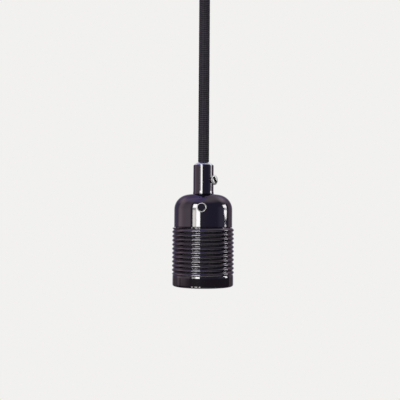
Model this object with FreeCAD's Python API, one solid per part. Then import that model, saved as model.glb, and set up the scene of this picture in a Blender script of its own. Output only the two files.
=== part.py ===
import FreeCAD
import Part
import math
import os
from FreeCAD import Vector

# A pendant light fitting: a threaded metal lampholder with a domed cap,
# hung from a small ceiling rose by a short textile cord.
# Millimetres, +Z up, with the origin at the middle of the ceiling face.

# Cord
cord_diameter = 7.2
cord_free_length = 126.0
cord_tail_in_rose = 12.0
cord_tail_below_stud = 1.2
core_wire_diameter = 2.0
core_wire_offset = 1.8

# Ceiling rose
rose_diameter = 60.0
rose_height = 22.0
rose_wall = 1.2
rose_edge_chamfer = 3.0
bracket_width = 14.0
bracket_thickness = 1.5
bracket_tab_height = 12.0
fixing_spacing = 40.0
fixing_hole_diameter = 4.6
rose_screw_diameter = 3.0
rose_screw_head_diameter = 5.6
rose_screw_head_height = 1.6
rose_screw_reach = 4.0
rose_screw_depth = 7.0
gland_diameter = 16.0
gland_collar_height = 4.0
gland_stud_diameter = 11.0
gland_stud_length = 6.0
gland_nut_flats = 15.0
gland_nut_height = 3.0

# Cord grip
grip_diameter = 13.4
grip_height = 21.3
grip_bevel_height = 1.9
grip_bevel_width = 2.6
grip_base_chamfer = 0.7
stud_diameter = 9.9
stud_length = 5.0
lock_nut_flats = 14.0
lock_nut_height = 3.0
clamp_level = 9.3
clamp_azimuth = 49.0
clamp_shank_diameter = 3.8
clamp_head_diameter = 6.5
clamp_head_height = 1.5
clamp_head_stand = 1.2
clamp_slot_width = 1.2
clamp_slot_depth = 0.8
clamp_slot_tilt = 41.0

# Dome
dome_diameter = 38.2
dome_height = 21.5
dome_shoulder_radius = 9.8
dome_wall = 0.8
outside_steps = 8
inside_steps = 4
skirt_diameter = 36.1
skirt_height = 7.2
eyelet_level = 12.6
eyelet_azimuth = -3.3
eyelet_bore = 4.6
eyelet_tube_wall = 0.45
eyelet_flange_width = 0.9
eyelet_flange_thickness = 0.35

# Earth terminal inside the dome
earth_plate_width = 8.0
earth_plate_thickness = 0.8
earth_plate_above_eyelet = 3.3
earth_plate_below_eyelet = 5.0
earth_tab_length = 10.0
earth_screw_inset = 4.0
earth_screw_diameter = 2.9
earth_screw_length = 4.0
earth_head_diameter = 5.0
earth_head_height = 1.6
earth_wire_inset = 1.7

# Threaded sleeve
sleeve_height = 38.0
sleeve_band_height = 6.3
sleeve_band_diameter = 39.8
thread_diameter = 40.6
thread_root_diameter = 38.8
thread_pitch = 2.75
sleeve_bore_diameter = 36.7
thread_spare_turns = 2
lip_opening_diameter = 31.6
lip_thickness = 1.2
lip_bevel = 0.6
sleeve_edge_chamfer = 0.8

# Porcelain interior
porcelain_diameter = 35.8
porcelain_neck_diameter = 33.2
porcelain_base_thickness = 7.0
socket_depth = 28.6
ring_bore = 28.8
guide_depth = 3.0
spring_pocket_diameter = 10.0

# Screw shell for an E27 lamp thread
shell_bore = 26.5
shell_wall = 0.5
shell_length = 24.0
shell_cup_bore = 23.4
shell_cup_height = 4.0
shell_floor_opening = 14.0
rivet_diameter = 2.4
rivet_head_diameter = 4.4
rivet_head_height = 0.8
rivet_radius = 9.2

# Sprung centre contact
contact_head_diameter = 9.2
contact_head_height = 2.0
contact_stem_diameter = 6.0
contact_flange_diameter = 8.8
contact_flange_thickness = 0.8
contact_travel = 1.8
leaf_width = 3.0
leaf_thickness = 0.4
leaf_span = 8.0

# Brass terminals
terminal_length = 6.0
terminal_width = 7.0
terminal_height = 6.2
terminal_radius = 9.5
terminal_plate_thickness = 0.8
tongue_width = 6.0
tongue_overhang = 4.5
foot_width = 4.4
terminal_screw_diameter = 2.8
terminal_screw_depth = 3.0
terminal_head_diameter = 4.0
terminal_head_height = 1.4

# Clearances
seat_gap = 0.2
running_gap = 0.08
screw_gap = 0.05
cord_gap = 0.2
hole_gap = 0.15

# Heights, from the ceiling down
rose_under_z = -rose_height
grip_top_z = rose_under_z - cord_free_length
dome_top_z = grip_top_z - grip_height
seam_z = dome_top_z - dome_height
sleeve_top_z = seam_z - seat_gap
mouth_z = sleeve_top_z - sleeve_height
skirt_bottom_z = seam_z - skirt_height
stud_end_z = dome_top_z - stud_length
cord_end_z = stud_end_z - cord_tail_below_stud
porcelain_shoulder_z = skirt_bottom_z - seat_gap
porcelain_bottom_z = mouth_z + lip_thickness + seat_gap
socket_floor_z = porcelain_bottom_z + socket_depth
porcelain_top_z = socket_floor_z + porcelain_base_thickness
flange_low_z = socket_floor_z - shell_cup_height
plate_top_z = porcelain_top_z + terminal_plate_thickness
terminal_top_z = plate_top_z + terminal_height
eyelet_z = seam_z + eyelet_level

# Radii that several pieces share
cord_radius = cord_diameter / 2
dome_radius = dome_diameter / 2
dome_inner_radius = dome_radius - dome_wall
skirt_inner_radius = skirt_diameter / 2 - dome_wall
stud_radius = stud_diameter / 2
eyelet_tube_radius = eyelet_bore / 2 + eyelet_tube_wall
eyelet_flange_radius = eyelet_bore / 2 + eyelet_flange_width
gland_stud_radius = gland_stud_diameter / 2
rose_inner_radius = rose_diameter / 2 - rose_wall

full_turn = 360
quarter_turn = 90
hexagon_sides = 6

up = Vector(0, 0, 1)
front = Vector(0, -1, 0)
right = Vector(1, 0, 0)
middle = Vector(0, 0, 0)


# General shapes
def cylinder(diameter, low, high, x=0, y=0):
    return Part.makeCylinder(diameter / 2, high - low, Vector(x, y, low))


def tube(outer_diameter, inner_diameter, low, high):
    return cylinder(outer_diameter, low, high).cut(cylinder(inner_diameter, low, high))


def rod(diameter, start, end):
    return Part.makeCylinder(diameter / 2, (end - start).Length, start, end - start)


def block(x_low, x_high, y_low, y_high, z_low, z_high):
    size = (x_high - x_low, y_high - y_low, z_high - z_low)
    return Part.makeBox(*size, Vector(x_low, y_low, z_low))


def turned(outline):
    points = [Vector(radius, 0, z) for radius, z in outline]
    face = Part.Face(Part.makePolygon(points + points[:1]))
    return face.revolve(middle, up, full_turn)


def hexagon(flats, low, high):
    corner = flats / math.sqrt(3)
    turns = [math.radians(full_turn * side / hexagon_sides) for side in range(hexagon_sides)]
    points = [Vector(corner * math.cos(turn), corner * math.sin(turn), low) for turn in turns]
    face = Part.Face(Part.makePolygon(points + points[:1]))
    return face.extrude(up * (high - low))


def turned_about_axis(shape, degrees):
    shape.rotate(middle, up, degrees)
    return shape


def slanted_wire(start, end):
    slope = (end - start).normalize()
    run = rod(core_wire_diameter, start - slope * core_wire_diameter, end + slope * core_wire_diameter)
    reach = dome_radius
    return run.common(block(-reach, reach, -reach, reach, end.z, start.z))


# Ceiling rose
def ceiling_rose():
    outer = rose_diameter / 2
    inside_floor = rose_under_z + rose_wall
    chamfer = rose_edge_chamfer
    bore = gland_stud_radius + hole_gap
    cup = turned([
        (bore, rose_under_z),
        (outer - chamfer, rose_under_z),
        (outer, rose_under_z + chamfer),
        (outer, 0),
        (rose_inner_radius, 0),
        (rose_inner_radius, inside_floor + chamfer),
        (rose_inner_radius - chamfer, inside_floor),
        (bore, inside_floor),
    ])
    hole_diameter = rose_screw_diameter + 2 * hole_gap
    level = up * -rose_screw_depth
    return cup.cut(rod(hole_diameter, level - right * outer, level + right * outer))


def bracket_half_length():
    half_width = bracket_width / 2
    return math.sqrt(rose_inner_radius ** 2 - half_width ** 2) - seat_gap


def rose_bracket():
    half_length = bracket_half_length()
    half_width = bracket_width / 2
    bar = block(-half_length, half_length, -half_width, half_width, -bracket_thickness, 0)
    for side in (-1, 1):
        outer = side * half_length
        inner = side * (half_length - bracket_thickness)
        tab = block(min(inner, outer), max(inner, outer), -half_width, half_width, -bracket_tab_height, 0)
        bar = bar.fuse(tab)
    for side in (-1, 1):
        x = side * fixing_spacing / 2
        bar = bar.cut(cylinder(fixing_hole_diameter, -bracket_thickness, 0, x))
    level = up * -rose_screw_depth
    reach = right * half_length
    return bar.cut(rod(rose_screw_diameter, level - reach, level + reach)).removeSplitter()


def rose_screw(side):
    level = up * -rose_screw_depth
    seat = right * side * rose_diameter / 2
    shank_end = right * side * (bracket_half_length() - rose_screw_reach)
    head_end = seat + right * side * rose_screw_head_height
    shank = rod(rose_screw_diameter, level + shank_end, level + seat)
    return shank.fuse(rod(rose_screw_head_diameter, level + seat, level + head_end))


def rose_gland():
    collar = cylinder(gland_diameter, rose_under_z - gland_collar_height, rose_under_z)
    stud_top = rose_under_z + rose_wall + gland_stud_length
    stud = cylinder(gland_stud_diameter, rose_under_z, stud_top)
    bore = cylinder(cord_diameter + 2 * cord_gap, rose_under_z - gland_collar_height, stud_top)
    return collar.fuse(stud).cut(bore)


def gland_nut():
    seat = rose_under_z + rose_wall
    nut = hexagon(gland_nut_flats, seat, seat + gland_nut_height)
    return nut.cut(cylinder(gland_stud_diameter, seat, seat + gland_nut_height))


# Cord, pulled straight by the weight of the fitting
def cord():
    top = rose_under_z + cord_tail_in_rose
    return cylinder(cord_diameter, cord_end_z, top)


# Cord grip with its clamp screw
def clamp_direction():
    angle = math.radians(clamp_azimuth)
    return Vector(math.sin(angle), -math.cos(angle), 0)


def clamp_centre():
    return Vector(0, 0, dome_top_z + clamp_level)


def cord_grip():
    radius = grip_diameter / 2
    bore = cord_radius + cord_gap
    body = turned([
        (bore, stud_end_z),
        (stud_radius, stud_end_z),
        (stud_radius, dome_top_z),
        (radius - grip_base_chamfer, dome_top_z),
        (radius, dome_top_z + grip_base_chamfer),
        (radius, grip_top_z - grip_bevel_height),
        (radius - grip_bevel_width, grip_top_z),
        (bore, grip_top_z),
    ])
    hole = rod(clamp_shank_diameter + 2 * screw_gap, clamp_centre(),
               clamp_centre() + clamp_direction() * grip_diameter)
    return body.cut(hole)


def clamp_screw():
    out = clamp_direction()
    tip = clamp_centre() + out * (cord_radius + screw_gap)
    seat = clamp_centre() + out * (grip_diameter / 2 + clamp_head_stand)
    top = seat + out * clamp_head_height
    screw = rod(clamp_shank_diameter, tip, seat).fuse(rod(clamp_head_diameter, seat, top))
    half_slot = clamp_slot_width / 2
    reach = clamp_head_diameter
    slot = block(-clamp_slot_depth, clamp_slot_depth, -half_slot, half_slot, -reach, reach)
    slot.rotate(middle, right, clamp_slot_tilt)
    slot.rotate(middle, up, clamp_azimuth - quarter_turn)
    slot.translate(top)
    return screw.cut(slot)


def lock_nut():
    seat = dome_top_z - dome_wall
    nut = hexagon(lock_nut_flats, seat - lock_nut_height, seat)
    return nut.cut(cylinder(stud_diameter, seat - lock_nut_height, seat))


# Dome: a drawn sheet cap with a stepped-in skirt that screws into the sleeve
def domed_block(radius, top, bottom, shoulder, steps):
    outline = [(0, bottom), (0, top)]
    for step in range(steps + 1):
        angle = math.pi / 2 * step / steps
        across = radius - shoulder + shoulder * math.sin(angle)
        outline.append((across, top - shoulder + shoulder * math.cos(angle)))
    return turned(outline + [(radius, bottom)])


def dome_outside():
    cap = domed_block(dome_radius, dome_top_z, seam_z, dome_shoulder_radius, outside_steps)
    return cap.fuse(cylinder(skirt_diameter, skirt_bottom_z, seam_z))


def dome_cavity():
    step_z = seam_z + dome_wall
    inner_shoulder = dome_shoulder_radius - dome_wall
    room = domed_block(dome_inner_radius, dome_top_z - dome_wall, step_z, inner_shoulder, inside_steps)
    return room.fuse(cylinder(2 * skirt_inner_radius, skirt_bottom_z, step_z))


def eyelet_axis(start_radius, end_radius, diameter):
    level = up * eyelet_z
    return rod(diameter, level + front * start_radius, level + front * end_radius)


def dome():
    shell = dome_outside().cut(dome_cavity())
    stud_hole = cylinder(stud_diameter + 2 * hole_gap, dome_top_z - dome_wall, dome_top_z)
    eyelet_hole = eyelet_axis(stud_radius, dome_diameter, 2 * eyelet_tube_radius)
    return shell.cut(stud_hole).cut(turned_about_axis(eyelet_hole, eyelet_azimuth))


# Earth terminal: a bent lug held inside the dome by a tubular rivet
def earth_lug():
    half_width = earth_plate_width / 2
    low = eyelet_z - earth_plate_below_eyelet
    high = eyelet_z + earth_plate_above_eyelet
    plate_radius = dome_inner_radius - earth_plate_thickness
    wall = tube(2 * dome_inner_radius, 2 * plate_radius, low, high)
    plate = wall.common(block(-half_width, half_width, -dome_radius, 0, low, high))
    tab_end = plate_radius - earth_tab_length
    tab = block(-half_width, half_width, -dome_radius, -tab_end, low, low + earth_plate_thickness)
    lug = plate.fuse(tab).common(dome_cavity())
    lug = lug.cut(eyelet_axis(0, dome_radius, 2 * eyelet_tube_radius))
    screw_y = -(plate_radius - earth_screw_inset)
    return lug.cut(cylinder(earth_screw_diameter, low, high, 0, screw_y)).removeSplitter()


def earth_terminal():
    return turned_about_axis(earth_lug(), eyelet_azimuth)


def earth_eyelet():
    inner_face = dome_inner_radius - earth_plate_thickness - eyelet_flange_thickness
    outer_face = dome_radius + eyelet_flange_thickness
    body = eyelet_axis(inner_face, dome_radius, 2 * eyelet_tube_radius)
    outer_flange = eyelet_axis(dome_inner_radius, outer_face, 2 * eyelet_flange_radius)
    inner_flange = eyelet_axis(inner_face, dome_inner_radius, 2 * eyelet_flange_radius)
    inner_flange = inner_flange.common(dome_cavity()).cut(earth_lug())
    rivet = body.fuse(outer_flange.cut(dome_outside())).fuse(inner_flange)
    rivet = rivet.cut(eyelet_axis(0, dome_diameter, eyelet_bore))
    return turned_about_axis(rivet.removeSplitter(), eyelet_azimuth)


def earth_screw():
    tab_low = eyelet_z - earth_plate_below_eyelet
    tab_top = tab_low + earth_plate_thickness
    y = -(dome_inner_radius - earth_plate_thickness - earth_screw_inset)
    shank = cylinder(earth_screw_diameter, tab_top - earth_screw_length, tab_top, 0, y)
    head = cylinder(earth_head_diameter, tab_top, tab_top + earth_head_height, 0, y)
    return turned_about_axis(shank.fuse(head), eyelet_azimuth)


def earth_wire():
    tab_top = eyelet_z - earth_plate_below_eyelet + earth_plate_thickness
    tab_end = dome_inner_radius - earth_plate_thickness - earth_tab_length
    start = Vector(0, -core_wire_offset, cord_end_z)
    end = Vector(0, -(tab_end + earth_wire_inset), tab_top)
    return turned_about_axis(slanted_wire(start, end), eyelet_azimuth)


# Sleeve: a rolled barrel with a helical thread outside and a turned-in lip below
def helix_turn(radius, z):
    edge = Part.makeHelix(thread_pitch, thread_pitch, radius).Edges[0]
    edge.translate(up * z)
    return edge


def thread_section(core_radius, root_radius, crest_radius, z):
    corners = [(core_radius, z), (root_radius, z), (crest_radius, z + thread_pitch / 2),
               (root_radius, z + thread_pitch), (core_radius, z + thread_pitch)]
    points = [Vector(radius, 0, height) for radius, height in corners]
    return Part.Face(Part.makePolygon(points + points[:1]))


def thread_block(core_radius, root_radius, crest_radius, bottom, turns):
    faces = []
    for turn in range(turns):
        z = bottom + turn * thread_pitch
        crest = helix_turn(crest_radius, z + thread_pitch / 2)
        next_z = z + thread_pitch
        faces.append(Part.makeRuledSurface(helix_turn(root_radius, z), crest))
        faces.append(Part.makeRuledSurface(crest, helix_turn(root_radius, next_z)))
        faces.append(Part.makeRuledSurface(helix_turn(core_radius, z), helix_turn(core_radius, next_z)))
    for z in (bottom, bottom + turns * thread_pitch):
        faces.append(Part.makeRuledSurface(helix_turn(core_radius, z), helix_turn(root_radius, z)))
        faces.append(thread_section(core_radius, root_radius, crest_radius, z))
    shell = Part.makeShell(faces)
    shell.sewShape()
    return Part.makeSolid(shell.Shells[0])


def sleeve():
    bore_radius = sleeve_bore_diameter / 2
    root_radius = thread_root_diameter / 2
    band_radius = sleeve_band_diameter / 2
    band_top = mouth_z + sleeve_band_height
    threaded_height = sleeve_top_z - band_top
    turns = math.ceil(threaded_height / thread_pitch) + 2 * thread_spare_turns
    start_z = band_top - thread_spare_turns * thread_pitch - thread_pitch / 2
    core_radius = bore_radius - (root_radius - bore_radius)
    thread = thread_block(core_radius, root_radius, thread_diameter / 2, start_z, turns)
    room = tube(thread_diameter + thread_pitch, sleeve_bore_diameter, band_top, sleeve_top_z)
    barrel = thread.common(room)
    lip_radius = lip_opening_diameter / 2
    band = turned([
        (lip_radius + lip_bevel, mouth_z),
        (band_radius - sleeve_edge_chamfer, mouth_z),
        (band_radius, mouth_z + sleeve_edge_chamfer),
        (band_radius, band_top),
        (bore_radius, band_top),
        (bore_radius, mouth_z + lip_thickness),
        (lip_radius, mouth_z + lip_thickness),
    ])
    return barrel.fuse(band)


# Porcelain interior: a base that holds the contacts, and a plain ring round the screw shell
def insulating_ring():
    return tube(porcelain_diameter, ring_bore, porcelain_bottom_z, flange_low_z)


def porcelain_body():
    flange = cylinder(porcelain_diameter, flange_low_z, porcelain_shoulder_z)
    neck = cylinder(porcelain_neck_diameter, porcelain_shoulder_z, porcelain_top_z)
    recess_diameter = shell_cup_bore + 2 * shell_wall + 2 * seat_gap
    body = flange.fuse(neck).cut(cylinder(recess_diameter, flange_low_z, socket_floor_z))
    guide_diameter = contact_stem_diameter + 2 * running_gap
    pocket_floor = socket_floor_z + guide_depth
    body = body.cut(cylinder(guide_diameter, socket_floor_z, pocket_floor))
    body = body.cut(cylinder(spring_pocket_diameter, pocket_floor, porcelain_top_z))
    for side in (-1, 1):
        body = body.cut(cylinder(rivet_diameter, socket_floor_z, porcelain_top_z, 0, side * rivet_radius))
    return body


def screw_shell():
    floor_low = socket_floor_z - shell_wall
    step_z = floor_low - shell_cup_height
    mouth = socket_floor_z - shell_length
    inner = shell_bore / 2
    cup_inner = shell_cup_bore / 2
    opening = shell_floor_opening / 2
    shell = turned([
        (inner, mouth),
        (inner + shell_wall, mouth),
        (inner + shell_wall, step_z + shell_wall),
        (cup_inner + shell_wall, step_z + shell_wall),
        (cup_inner + shell_wall, socket_floor_z),
        (opening, socket_floor_z),
        (opening, floor_low),
        (cup_inner, floor_low),
        (cup_inner, step_z),
        (inner, step_z),
    ])
    for side in (-1, 1):
        shell = shell.cut(cylinder(rivet_diameter, floor_low, socket_floor_z, 0, side * rivet_radius))
    return shell


def shell_rivet(side, seat_z):
    y = side * rivet_radius
    floor_low = socket_floor_z - shell_wall
    shank = cylinder(rivet_diameter, floor_low, seat_z, 0, y)
    lower_head = cylinder(rivet_head_diameter, floor_low - rivet_head_height, floor_low, 0, y)
    upper_head = cylinder(rivet_head_diameter, seat_z, seat_z + rivet_head_height, 0, y)
    return shank.fuse([lower_head, upper_head])


# Terminals on top of the porcelain
def terminal_block(side):
    near = terminal_radius - terminal_length / 2
    far = terminal_radius + terminal_length / 2
    half_width = terminal_width / 2
    body = block(min(side * near, side * far), max(side * near, side * far),
                 -half_width, half_width, porcelain_top_z, terminal_top_z)
    hole = rod(terminal_screw_diameter, terminal_screw_seat(side),
               terminal_screw_seat(side) - right * side * terminal_screw_depth)
    return body.cut(hole)


def terminal_screw_seat(side):
    level = (plate_top_z + terminal_top_z) / 2
    return right * side * (terminal_radius + terminal_length / 2) + up * level


def live_terminal():
    half_tongue = tongue_width / 2
    tongue = block(-terminal_radius, tongue_overhang, -half_tongue, half_tongue,
                   porcelain_top_z, plate_top_z)
    return terminal_block(-1).fuse(tongue).removeSplitter()


def neutral_terminal():
    near = terminal_radius - terminal_length / 2
    foot_low = rivet_radius - foot_width / 2
    foot_high = rivet_radius + foot_width / 2
    half_width = terminal_width / 2
    link = block(near, near + foot_width, half_width, foot_high, porcelain_top_z, plate_top_z)
    foot = block(-foot_width / 2, near + foot_width, foot_low, foot_high, porcelain_top_z, plate_top_z)
    rivet_hole = cylinder(rivet_diameter, porcelain_top_z, plate_top_z, 0, rivet_radius)
    strip = link.fuse(foot).cut(rivet_hole)
    return terminal_block(1).fuse(strip).removeSplitter()


def terminal_screw(side):
    seat = terminal_screw_seat(side)
    shank = rod(terminal_screw_diameter, seat - right * side * terminal_screw_depth, seat)
    return shank.fuse(rod(terminal_head_diameter, seat, seat + right * side * terminal_head_height))


def terminal_wire(side):
    start = Vector(side * core_wire_offset, 0, cord_end_z)
    return slanted_wire(start, Vector(side * terminal_radius, 0, terminal_top_z))


# Sprung centre contact
def contact_flange_top():
    return socket_floor_z + guide_depth + screw_gap + contact_flange_thickness


def contact_button():
    head_top = socket_floor_z - contact_travel - seat_gap
    flange_top = contact_flange_top()
    flange_low = flange_top - contact_flange_thickness
    head = cylinder(contact_head_diameter, head_top - contact_head_height, head_top)
    stem = cylinder(contact_stem_diameter, head_top, flange_low)
    return head.fuse([stem, cylinder(contact_flange_diameter, flange_low, flange_top)])


def contact_leaf():
    foot_z = contact_flange_top()
    rise = porcelain_top_z - foot_z
    bend = ((leaf_span / 2) ** 2 + rise ** 2) / (2 * rise)
    half_width = leaf_width / 2
    axis_start = Vector(0, -half_width, porcelain_top_z - bend)
    axis_end = Vector(0, half_width, porcelain_top_z - bend)
    hollow = rod(2 * (bend - leaf_thickness), axis_start, axis_end)
    hoop = rod(2 * bend, axis_start, axis_end).cut(hollow)
    reach = 2 * bend
    return hoop.common(block(-reach, reach, -half_width, half_width, foot_z, porcelain_top_z))


def group(shapes):
    return Part.makeCompound(shapes)


sub_parts = {
    "ceiling_rose": ceiling_rose(),
    "rose_bracket": rose_bracket(),
    "rose_screws": group([rose_screw(-1), rose_screw(1)]),
    "rose_gland": rose_gland(),
    "gland_nut": gland_nut(),
    "cord": cord(),
    "cord_grip": cord_grip(),
    "clamp_screw": clamp_screw(),
    "lock_nut": lock_nut(),
    "dome": dome(),
    "earth_eyelet": earth_eyelet(),
    "earth_terminal": earth_terminal(),
    "earth_screw": earth_screw(),
    "earth_wire": earth_wire(),
    "live_wire": terminal_wire(-1),
    "neutral_wire": terminal_wire(1),
    "sleeve": sleeve(),
    "insulating_ring": insulating_ring(),
    "porcelain_body": porcelain_body(),
    "screw_shell": screw_shell(),
    "shell_rivets": group([shell_rivet(-1, porcelain_top_z), shell_rivet(1, plate_top_z)]),
    "live_terminal": live_terminal(),
    "neutral_terminal": neutral_terminal(),
    "terminal_screws": group([terminal_screw(-1), terminal_screw(1)]),
    "contact_button": contact_button(),
    "contact_leaf": contact_leaf(),
}

os.makedirs("parts", exist_ok=True)
for node, shape in sub_parts.items():
    shape.exportStep("parts/" + node + ".step")
    print(node, "solids", len(shape.Solids), "valid", shape.isValid(), "volume", round(shape.Volume, 2))

cord_length = sub_parts["cord"].BoundBox.ZLength
section_volume = math.pi * cord_radius ** 2 * cord_length
print("cord: one straight run of", cord_length, "mm with no arcs; volume is section times length within",
      round(abs(sub_parts["cord"].Volume - section_volume), 6))
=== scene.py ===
import bpy
import bmesh
import math
from mathutils import Matrix, Vector


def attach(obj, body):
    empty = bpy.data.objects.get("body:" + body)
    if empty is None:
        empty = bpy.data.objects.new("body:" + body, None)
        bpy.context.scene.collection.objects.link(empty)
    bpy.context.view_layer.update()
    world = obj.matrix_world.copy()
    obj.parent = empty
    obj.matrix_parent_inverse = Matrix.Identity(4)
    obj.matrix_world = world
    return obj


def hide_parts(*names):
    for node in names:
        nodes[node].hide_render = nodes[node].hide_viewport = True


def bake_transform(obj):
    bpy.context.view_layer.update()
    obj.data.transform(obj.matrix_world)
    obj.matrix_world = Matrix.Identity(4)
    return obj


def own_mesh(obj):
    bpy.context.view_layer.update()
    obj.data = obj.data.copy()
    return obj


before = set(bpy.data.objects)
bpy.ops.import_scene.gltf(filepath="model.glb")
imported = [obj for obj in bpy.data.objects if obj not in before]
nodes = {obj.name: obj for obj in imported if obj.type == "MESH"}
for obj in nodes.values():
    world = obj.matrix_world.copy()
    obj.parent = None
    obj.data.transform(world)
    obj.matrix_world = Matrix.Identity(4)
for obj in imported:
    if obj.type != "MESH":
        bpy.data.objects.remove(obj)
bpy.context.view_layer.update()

mm = 0.001
full_turn = 2 * math.pi
up = Vector((0, 0, 1))
both_sides = (-1, 1)

# Heights from the ceiling down, in mm
rose_screw_level = -7.0
cord_top = -10.0
gland_stud_top = -14.8
rose_under = -22.0
gland_low = -26.0
route_high = -52.0
route_low = -133.5
grip_top = -148.0
clamp_level = -160.0
dome_top = -169.3
stud_end = -174.3
cord_end = -175.5
eyelet_level = -178.4
earth_screw_level = -182.4
terminal_top = -185.0
rivet_hole_top = -190.0
seam = -190.8
sleeve_top = -191.0
plate_top = -191.2
porcelain_top = -192.0
leaf_foot = -195.13
contact_top = -195.15
contact_flange_low = -195.95
skirt_bottom = -198.0
porcelain_shoulder = -198.2
socket_floor = -199.0
contact_head_top = -201.0
contact_tip = -203.0
flange_low = -203.0
shell_step = -203.5
rivet_hole_low = -206.0
band_top = -222.7
shell_mouth = -223.0
porcelain_bottom = -227.6
lip_top = -227.8
mouth = -229.0

# Radii and other sizes in mm
cord_radius = 3.6
grip_radius = 6.7
grip_bore = 3.8
grip_bevel_height = 1.9
grip_bevel_width = 2.6
stud_radius = 4.95
stud_play = 0.15
dome_radius = 19.1
dome_shoulder = 9.8
dome_wall = 0.8
skirt_radius = 18.05
band_radius = 19.9
thread_crest = 20.3
thread_root = 19.4
thread_pitch = 2.75
sleeve_bore = 18.35
lip_radius = 15.8
lip_bevel = 0.6
eyelet_tube = 2.75
eyelet_bore = 2.3
eyelet_rim = 3.0
rose_radius = 30.0
rose_wall = 1.2
rose_hole = 5.65
rose_screw_hole = 1.65
gland_radius = 8.0
gland_nose = 6.6
gland_stud = 5.5
gland_bore = cord_radius + 0.2
porcelain_radius = 17.9
porcelain_neck = 16.6
porcelain_cup = 12.4
ring_bore = 14.4
contact_well = 5.0
contact_well_depth = 3.0
contact_hole = 3.08
rivet_offset = 9.2

# Meshes
round_segments = 160
fillet_steps = 6
fillet_limit = 0.48
weld_distance = 1e-7
crease_angle = math.radians(32)


# A corner of an outline, with the radius of its fillet
def at(radius, z, fillet=0):
    return radius, z, fillet


def rounded(corners):
    outline = []
    count = len(corners)
    for i, (radius, z, fillet) in enumerate(corners):
        corner = Vector((radius, z))
        if fillet == 0:
            outline.append((radius, z))
            continue
        before = Vector(corners[i - 1][:2]) - corner
        after = Vector(corners[(i + 1) % count][:2]) - corner
        reach = fillet / math.tan(before.angle(after) / 2)
        reach = min(reach, before.length * fillet_limit, after.length * fillet_limit)
        start = corner + before.normalized() * reach
        end = corner + after.normalized() * reach
        for step in range(fillet_steps + 1):
            t = step / fillet_steps
            point = start * (1 - t) ** 2 + corner * 2 * t * (1 - t) + end * t ** 2
            outline.append((point.x, point.y))
    return outline


def arc(centre_r, centre_z, radius, start, end, steps):
    points = []
    for step in range(steps + 1):
        angle = math.radians(start + (end - start) * step / steps)
        points.append((centre_r + radius * math.cos(angle), centre_z + radius * math.sin(angle)))
    return points


def belt_faces(a, b, segments):
    faces = []
    for j in range(segments):
        k = (j + 1) % segments
        faces.append((a + j, a + k, b + k, b + j))
    return faces


# Rows round the axis, closed from the last row to the first. A row's radius may depend on the turn
def ring_grid(rows, segments):
    places = []
    for radius, z in rows:
        for j in range(segments):
            turn = full_turn * j / segments
            r = radius(turn) if callable(radius) else radius
            places.append((r * math.cos(turn), r * math.sin(turn), z))
    faces = []
    for i in range(len(rows)):
        faces += belt_faces(i * segments, (i + 1) % len(rows) * segments, segments)
    return places, faces


# Rings one after another, with a cap at each end
def tube_faces(rings, segments):
    faces = []
    for i in range(rings - 1):
        faces += belt_faces(i * segments, (i + 1) * segments, segments)
    last = (rings - 1) * segments
    faces.append(tuple(range(segments - 1, -1, -1)))
    faces.append(tuple(range(last, last + segments)))
    return faces


def soften(piece):
    for face in piece.data.polygons:
        face.use_smooth = True
    piece.data.set_sharp_from_angle(angle=crease_angle)


def linked(name, mesh):
    piece = bpy.data.objects.new(name, mesh)
    bpy.context.scene.collection.objects.link(piece)
    soften(piece)
    return piece


def piece_from(name, places, faces, weld=True):
    mesh = bpy.data.meshes.new(name)
    mesh.from_pydata([[c * mm for c in place] for place in places], [], faces)
    work = bmesh.new()
    work.from_mesh(mesh)
    if weld:
        bmesh.ops.remove_doubles(work, verts=work.verts, dist=weld_distance)
    bmesh.ops.recalc_face_normals(work, faces=work.faces)
    work.to_mesh(mesh)
    work.free()
    return linked(name, mesh)


def turned(name, outline, segments=round_segments):
    places, faces = ring_grid(outline, segments)
    return piece_from(name, places, faces)


def drill(name, radius, low, high, segments):
    return turned(name, [(0, low), (radius, low), (radius, high), (0, high)], segments)


def bar(name, half_x, half_y, half_z):
    places = []
    for x in both_sides:
        for y in both_sides:
            for z in both_sides:
                places.append((x * half_x, y * half_y, z * half_z))
    faces = [(0, 1, 3, 2), (4, 6, 7, 5), (0, 4, 5, 1), (2, 3, 7, 6), (0, 2, 6, 4), (1, 5, 7, 3)]
    return piece_from(name, places, faces)


def cut(piece, cutter):
    tool = piece.modifiers.new("cut", "BOOLEAN")
    tool.operation = "DIFFERENCE"
    tool.solver = "EXACT"
    tool.object = cutter
    bpy.context.view_layer.update()
    graph = bpy.context.evaluated_depsgraph_get()
    shape = bpy.data.meshes.new_from_object(piece.evaluated_get(graph))
    piece.modifiers.clear()
    piece.data = shape
    soften(piece)
    bpy.data.objects.remove(cutter)


def shifted(piece, place):
    piece.data.transform(Matrix.Translation(Vector(place) * mm))
    return piece


def placed(piece, origin, axis, roll=0.0):
    turn = up.rotation_difference(axis).to_matrix().to_4x4()
    spin = Matrix.Rotation(roll, 4, "Z")
    piece.data.transform(Matrix.Translation(Vector(origin) * mm) @ turn @ spin)
    return piece


def joined(name, pieces):
    work = bmesh.new()
    for piece in pieces:
        work.from_mesh(piece.data)
        bpy.data.objects.remove(piece)
    mesh = bpy.data.meshes.new(name)
    work.to_mesh(mesh)
    work.free()
    return linked(name, mesh)


def finished(piece, body, slot, material, *replaced):
    piece.data.materials.clear()
    piece.data.materials.append(material)
    weighted = piece.modifiers.new("even_normals", "WEIGHTED_NORMAL")
    weighted.keep_sharp = True
    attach(piece, body)
    if replaced:
        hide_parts(*replaced)
    return piece


# A further material on some of a piece's faces
def dressed(piece, material, faces):
    piece.data.materials.append(material)
    for index in faces:
        piece.data.polygons[index].material_index = len(piece.data.materials) - 1


# A direction in the horizontal plane, turned to the right from the front
def outward(azimuth):
    return Vector((math.sin(azimuth), -math.cos(azimuth), 0))


# Screws
screw_segments = 72
head_edge = 0.35
crown_radius = 0.6
crown_drop = 0.15
open_slot = 2.0
face_slack = 0.01


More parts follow.
